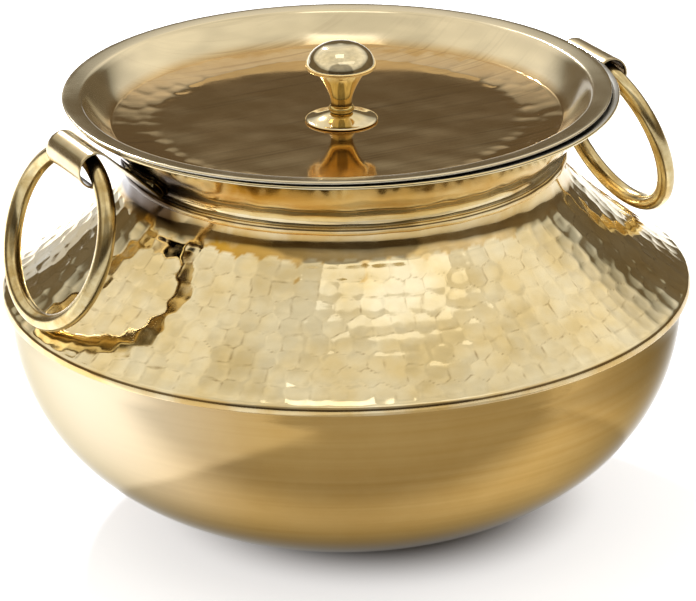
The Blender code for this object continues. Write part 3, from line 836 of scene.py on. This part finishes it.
# %% The metal that every finish starts from
def metal(name, colour, roughness, edge="#ffffff"):
    """A bare metal with its typical colour and roughness, and a tint for where it is seen edge on."""
    material = bpy.data.materials.new(name)
    material.use_nodes = True
    shader = material.node_tree.nodes["Principled BSDF"]
    shader.inputs["Base Color"].default_value = linear(colour)
    shader.inputs["Metallic"].default_value = 1.0
    shader.inputs["Roughness"].default_value = roughness
    shader.inputs["Specular Tint"].default_value = linear(edge)
    return material


def feed(material, sources):
    """Lets patterns vary the shader's inputs, each found by its name."""
    shader = material.node_tree.nodes["Principled BSDF"]
    for socket, source in sources.items():
        material.node_tree.links.new(first_output(source), shader.inputs[socket])
    print(material.name, "has", len(material.node_tree.nodes), "nodes and varies in", ", ".join(sources))


def fade(value, start, width):
    """Rises from 0 to 1 over a width in millimetres, or falls where the width is negative."""
    return np.clip((value - start) / width, 0, 1)


def weigh(piece, name, weight):
    """Keeps a number for each point, from its reach, its height and how far left the camera sees it."""
    points = vertices(piece)
    left = points @ np.array(from_view(-1, 0, 0))
    values = weight(np.hypot(points[:, 0], points[:, 1]), points[:, 2], left)
    keep(piece, name, values)
    print(piece.name, name, "runs from", round(values.min(), 2), "to", round(values.max(), 2))


# %% [markdown]
# Hammered brass: each blow leaves a bright hollow, and the ridges between blows are painted darker, as the
# ridge
# number kept on the mesh tells: a painted dark reflection. A warm stain lies on the cove, the collar and the
# band below, most on the left, partly real and partly painted dark reflection. Round the left lug the brass
# is painted dark, a painted shade.

# %% Hammered brass
hammered = metal("hammered yellow brass", "#f5e2b0", 0.09)
body_point = node(hammered, "TexCoord").outputs["Object"]
# Patches about 20 mm across.
patches = node(hammered, "TexNoise", {"Vector": body_point}, Scale=48.0, Detail=4.0)
tone = node(hammered, "MapRange", {"Value": patches}, From_Min=0.35, From_Max=0.65)
brass = node(hammered, "MixRGB", {"Fac": tone}, Color1="#f8eac4", Color2="#eed7a0")
ridge = node(hammered, "Attribute", attribute_name="ridge").outputs["Fac"]
# Specks of about 6 mm, smaller than one blow, so that the painted dark on a ridge is stronger in one place
# than in the next.
specks = node(hammered, "TexNoise", {"Vector": body_point}, Scale=170.0, Detail=5.0)
dull = node(hammered, "MapRange", {"Value": specks},
            From_Min=0.42, From_Max=0.66, To_Min=0.05, To_Max=0.55)
# Painted dark reflection: the ridges are mixed towards a dark brown, more or less as the specks say.
edge = node(hammered, "MapRange", {"Value": ridge, "To Max": dull},
            interpolation_type="SMOOTHSTEP", From_Min=0.25, From_Max=1.0)
ridges_painted_dark = node(hammered, "MixRGB", {"Fac": edge, "Color1": brass}, Color2="#8a6a30")
# A warm stain that also stands in for dark reflections: partly a real stain, partly painted reflection.
stain_and_dark_reflection = node(hammered, "Attribute", attribute_name="stain_and_dark_reflection").outputs["Fac"]
# Stains of about 30 mm, with ragged edges.
blots = node(hammered, "TexNoise", {"Vector": body_point}, Scale=34.0, Detail=5.0, Distortion=0.6)
blot = node(hammered, "MapRange", {"Value": blots}, From_Min=0.38, From_Max=0.56, To_Min=0.30, To_Max=1.0)
stain_and_reflection_share = node(hammered, "Math", {0: stain_and_dark_reflection, 1: blot}, operation="MULTIPLY")
warm = node(hammered, "MixRGB", {"Fac": stain_and_reflection_share, "Color1": ridges_painted_dark}, Color2="#cf9f3a")
# Painted shade and dark reflection round the left lug: the brass there is mixed towards near black.
painted_shade_by_lug = node(hammered, "Attribute", attribute_name="painted_shade_by_lug").outputs["Fac"]
shaded_by_lug = node(hammered, "MixRGB", {"Fac": painted_shade_by_lug, "Color1": warm}, Color2="#3a270b")
polish = node(hammered, "MapRange", {"Value": specks},
              From_Min=0.35, From_Max=0.70, To_Min=0.05, To_Max=0.13)
STAIN_AND_REFLECTION_DULLS = 0.05
matt = node(hammered, "Math", {0: stain_and_reflection_share, 1: STAIN_AND_REFLECTION_DULLS, 2: polish}, operation="MULTIPLY_ADD")
feed(hammered, {"Base Color": shaded_by_lug, "Roughness": matt})
# Stain and painted dark reflection on the cove past the marks, the collar and the band, strongest on the
# left.
weigh(body, "stain_and_dark_reflection", lambda r, z, left: past_the_marks * (0.55 + 0.45 * fade(left, 5, 50)) * fade(z, 177, -3)
      + (0.10 + 0.50 * fade(left, 5, 50)) * fade(z, 176, 3) * fade(z, 199, -3) + 0.6 * (z < 113))
# Painted shade round the left lug, on the cove and the collar.
weigh(body, "painted_shade_by_lug", lambda r, z, left: fade(left, 62, 16) * fade(z, 160, 4) * (z < 200))

# %% [markdown]
# The bowl is spun and only satin finished: fine rings run round it, and it is duller and darker than the
# cone. Real rings are about 0.1 mm apart, too fine to show, so they are drawn about 2 mm apart. It is
# painted paler on the left, a painted reflection of the lit floor, and browner low down and on the right,
# a painted reflection of the floor in the pot's shadow. Those are two colour masks. It is also browner where
# it is seen edge on, from the edge tint.

# %% Spun satin brass
spun = metal("spun satin brass", "#cba765", 0.18, edge="#cecbbf")
bowl_point = node(spun, "TexCoord").outputs["Object"]
ringed = node(spun, "Mapping", {"Vector": bowl_point}, Scale=(5.0, 5.0, 420.0))
rings = node(spun, "TexNoise", {"Vector": ringed}, Scale=1.0, Detail=5.0)
# Clouds of about 36 mm.
clouds = node(spun, "TexNoise", {"Vector": bowl_point}, Scale=28.0, Detail=5.0, Roughness=0.6)
both = node(spun, "Math", {0: rings, 1: clouds}, operation="ADD")
tone = node(spun, "MapRange", {"Value": both}, From_Min=0.75, From_Max=1.25)
brass = node(spun, "MixRGB", {"Fac": tone}, Color1="#c39e5c", Color2="#cdaa6a")
# Painted reflection of the lit floor: the left of the bowl is painted paler.
pale_side = from_view(-0.96, -0.28, 0)
leftwards = node(spun, "VectorMath", {0: bowl_point, 1: pale_side}, operation="DOT_PRODUCT")
wiped = node(spun, "MapRange", {"Value": leftwards.outputs["Value"]},
             interpolation_type="SMOOTHSTEP", From_Min=0.07, From_Max=0.155)
paler = node(spun, "MixRGB", {"Fac": wiped, "Color1": brass}, Color2="#d9cdb4")
# Painted reflection of the floor in shade: the bowl is painted browner low down and on the right.
depth = node(spun, "SeparateXYZ", {"Vector": bowl_point}).outputs["Z"]
low = node(spun, "MapRange", {"Value": depth}, interpolation_type="SMOOTHSTEP",
           From_Min=0.012, From_Max=0.064, To_Min=0.95, To_Max=0.0)
far = node(spun, "MapRange", {"Value": leftwards.outputs["Value"]},
           interpolation_type="SMOOTHSTEP", From_Min=-0.14, From_Max=-0.03, To_Min=0.90, To_Max=0.0)
painted_dim_floor_share = node(spun, "Math", {0: low, 1: far}, operation="MAXIMUM")
browner = node(spun, "MixRGB", {"Fac": painted_dim_floor_share, "Color1": paler}, Color2="#593c12")
satin = node(spun, "MapRange", {"Value": both}, From_Min=0.75, From_Max=1.25, To_Min=0.08, To_Max=0.15)
grooves = node(spun, "Bump", {"Height": rings}, Strength=0.12, Distance=0.00005)
feed(spun, {"Base Color": browner, "Roughness": satin, "Normal": grooves})

# %% [markdown]
# The lid is cut from rolled sheet. Its disc was rubbed in one direction, so fine scratches run across it.
# The wall and flange are paler and a little duller. Real scratches are far under a millimetre apart. Here
# they are about 2 mm apart and 110 mm long, so that they show.

# %% Rolled brass
rolled = metal("rubbed rolled brass", "#dcbb83", 0.12)
lid_point = node(rolled, "TexCoord").outputs["Object"]
across = node(rolled, "Mapping", {"Vector": lid_point},
              Rotation=(0, 0, -VIEW_TURN + 0.10), Scale=(9.0, 520.0, 9.0))
scratches = node(rolled, "TexNoise", {"Vector": across}, Scale=1.0, Detail=6.0, Roughness=0.65)
clouds = node(rolled, "TexNoise", {"Vector": lid_point}, Scale=36.0, Detail=6.0, Roughness=0.62)
tone = node(rolled, "MapRange", {"Value": clouds}, From_Min=0.36, From_Max=0.64)
brass = node(rolled, "MixRGB", {"Fac": tone}, Color1="#dfc08a", Color2="#d2b078")
rim = node(rolled, "Attribute", attribute_name="rim").outputs["Fac"]
rimmed = node(rolled, "MixRGB", {"Fac": rim, "Color1": brass}, Color2="#efe0bd")
flat = node(rolled, "MapRange", {"Value": rim}, To_Min=0.45, To_Max=0.08)
line = node(rolled, "MapRange", {"Value": scratches, "To Min": flat},
            From_Min=0.30, From_Max=0.46, To_Max=0.0)
scored = node(rolled, "MixRGB", {"Fac": line, "Color1": rimmed}, Color2="#8f713f")
rub = node(rolled, "MapRange", {"Value": clouds}, From_Min=0.35, From_Max=0.65, To_Min=0.05, To_Max=0.11)
RIM_DULLS = 0.05
matt = node(rolled, "Math", {0: rim, 1: RIM_DULLS, 2: rub}, operation="MULTIPLY_ADD")
scores = node(rolled, "Bump", {"Height": scratches}, Strength=0.2, Distance=0.00004)
feed(rolled, {"Base Color": scored, "Roughness": matt, "Normal": scores})
weigh(lid, "rim", lambda r, z, left: fade(z, 190.6, 3))

# %% [markdown]
# The knob and its foot are turned on a lathe and buffed, so they are the brightest pieces. Their faint tool
# lines are drawn 0.7 mm apart, because real ones are too fine to show. The photo's brass is a deeper yellow
# below the cap, which the neck number gives.

# %% Turned brass
turned = metal("turned bright brass", "#f4e0ae", 0.07)
knob_point = node(turned, "TexCoord").outputs["Object"]
stretched = node(turned, "Mapping", {"Vector": knob_point}, Scale=(20.0, 20.0, 1500.0))
lines = node(turned, "TexNoise", {"Vector": stretched}, Scale=1.0, Detail=3.0)
clouds = node(turned, "TexNoise", {"Vector": knob_point}, Scale=110.0, Detail=4.0)
brass = node(turned, "MixRGB", {"Fac": clouds}, Color1="#fbf1d4", Color2="#eed8a4")
neck = node(turned, "Attribute", attribute_name="neck").outputs["Fac"]
necked = node(turned, "MixRGB", {"Fac": neck, "Color1": brass}, Color2="#d6b973")
buff = node(turned, "MapRange", {"Value": clouds}, To_Min=0.04, To_Max=0.11)
tool = node(turned, "Bump", {"Height": lines}, Strength=0.2, Distance=0.00003)
feed(turned, {"Base Color": necked, "Roughness": buff, "Normal": tool})
weigh(knob, "neck", lambda r, z, left: fade(z, 213, -4))
weigh(knob_foot, "neck", lambda r, z, left: 0.4 * fade(z, 189.8, 1.5))

# %% [markdown]
# The rings and rivets are drawn rod, handled often: dull, pale and full of small rubs about 10 mm long. A
# low bump of the same pattern breaks up their reflections.

# %% Drawn brass
drawn = metal("drawn dull brass", "#d9c493", 0.22)
rod_point = node(drawn, "TexCoord").outputs["Object"]
rubs = node(drawn, "TexNoise", {"Vector": rod_point}, Scale=95.0, Detail=6.0, Roughness=0.65)
tone = node(drawn, "MapRange", {"Value": rubs}, From_Min=0.36, From_Max=0.64)
brass = node(drawn, "MixRGB", {"Fac": tone}, Color1="#e6d5a6", Color2="#c8ac70")
wear = node(drawn, "MapRange", {"Value": rubs}, From_Min=0.35, From_Max=0.65, To_Min=0.14, To_Max=0.27)
knocks = node(drawn, "Bump", {"Height": rubs}, Strength=0.35, Distance=0.00012)
feed(drawn, {"Base Color": brass, "Roughness": wear, "Normal": knocks})

# %% [markdown]
# The lugs are strips cut from sheet. Fine lines run parallel to the roll, drawn about 2 mm apart because
# real ones are too fine to show. Only the outside of the roll stays bright. The rest of the strip and the
# inside of the roll are painted dark, a painted shade and dark reflection, so a point's distance from the
# roll's axis decides its colour.

# %% Cut sheet brass
strip = metal("cut sheet brass", "#e6d6ab", 0.17)
strip_point = node(strip, "TexCoord").outputs["Object"]
along = node(strip, "Mapping", {"Vector": strip_point}, Scale=(420.0, 14.0, 420.0))
lines = node(strip, "TexNoise", {"Vector": along}, Scale=1.0, Detail=5.0)
clouds = node(strip, "TexNoise", {"Vector": strip_point}, Scale=80.0, Detail=4.0)
brass = node(strip, "MixRGB", {"Fac": clouds}, Color1="#eadcb8", Color2="#c8ab70")
# Painted shade and dark reflection: the strip away from the roll and the roll's inside are mixed towards dark
# brown.
painted_strip_shade = node(strip, "Attribute", attribute_name="painted_strip_shade").outputs["Fac"]
dark = node(strip, "MixRGB", {"Fac": painted_strip_shade, "Color1": brass}, Color2="#4a3817")
for lug in (right_lug, left_lug):
    points = vertices(lug)
    off_roll = np.hypot(np.abs(points[:, 0]) - LUG_REACH, points[:, 2] - LUG_HEIGHT)
    strip_shade_weight = np.maximum(fade(off_roll, 8.7, 2), np.clip((7.9 - off_roll) / 0.3, 0, 1))
    keep(lug, "painted_strip_shade", strip_shade_weight)
rub = node(strip, "MapRange", {"Value": lines}, From_Min=0.35, From_Max=0.65, To_Min=0.12, To_Max=0.24)
scores = node(strip, "Bump", {"Height": lines}, Strength=0.2, Distance=0.00005)
feed(strip, {"Base Color": dark, "Roughness": rub, "Normal": scores})

# %% [markdown]
# Inside, a brass pot is tinned by wiping molten tin round with a cloth, which leaves broad cloudy sweeps,
# about 60 mm long and 14 mm high. The screw and washer are steel with a zinc plating, whose crystals each
# shine a little differently. They are drawn 1 mm across.

# %% Tin and zinc
tin = metal("wiped tin lining", "#cfccc4", 0.28)
tin_point = node(tin, "TexCoord").outputs["Object"]
round_it = node(tin, "Mapping", {"Vector": tin_point}, Scale=(16.0, 16.0, 70.0))
sweeps = node(tin, "TexNoise", {"Vector": round_it}, Scale=1.0, Detail=5.0, Distortion=1.2)
grey = node(tin, "MixRGB", {"Fac": sweeps}, Color1="#dedbd2", Color2="#aaa69c")
wipe = node(tin, "MapRange", {"Value": sweeps}, From_Min=0.3, From_Max=0.7, To_Min=0.20, To_Max=0.40)
feed(tin, {"Base Color": grey, "Roughness": wipe})

zinc = metal("zinc plated steel", "#b9bcc0", 0.25)
zinc_point = node(zinc, "TexCoord").outputs["Object"]
crystals = node(zinc, "TexVoronoi", {"Vector": zinc_point}, Scale=900.0)
bluish = node(zinc, "MixRGB", {"Fac": crystals}, Color1="#c6c9cc", Color2="#a2a8ae")
plating = node(zinc, "MapRange", {"Value": crystals}, To_Min=0.18, To_Max=0.34)
feed(zinc, {"Base Color": bluish, "Roughness": plating})

# %% [markdown]
# Each piece now gets its finish. Bowl, body and lid get two, brass outside and tin inside, and the inner
# faces are picked by where they are and which way they face.

# %% Dress every piece
FINISHES = [(bowl, spun, tin), (body, hammered, tin), (lid, rolled, tin), (knob, turned), (knob_foot, turned),
            (knob_screw, zinc), (washer, zinc), (right_lug, strip), (left_lug, strip),
            (right_ring, drawn), (left_ring, drawn)]
FINISHES += [(piece, drawn) for piece in bpy.data.objects if "rivet_head" in piece.name]
for piece, *finishes in FINISHES:
    piece.data.materials.clear()
    for finish in finishes:
        piece.data.materials.append(finish)
print("dressed", len(FINISHES), "pieces")

# %% Tin the inner sides
def tin_inside(piece, is_inside):
    """Gives the second finish to the faces that a test picks by their middle and their direction."""
    count = 0
    for face in piece.data.polygons:
        middle, normal = face.center, face.normal
        reach = math.hypot(middle.x, middle.y) or MM
        outward = (normal.x * middle.x + normal.y * middle.y) / reach
        if is_inside(reach / MM, middle.z / MM, outward, normal.z):
            face.material_index = 1
            count += 1
    print(piece.name, "is tinned on", count, "faces")


tin_inside(bowl, lambda r, z, out, up: out * r + up * (z - 95) < 0)
tin_inside(body, lambda r, z, out, up: out < -0.1 or (out < 0.3 and up > 0.5))
tin_inside(lid, lambda r, z, out, up: up < -0.2)
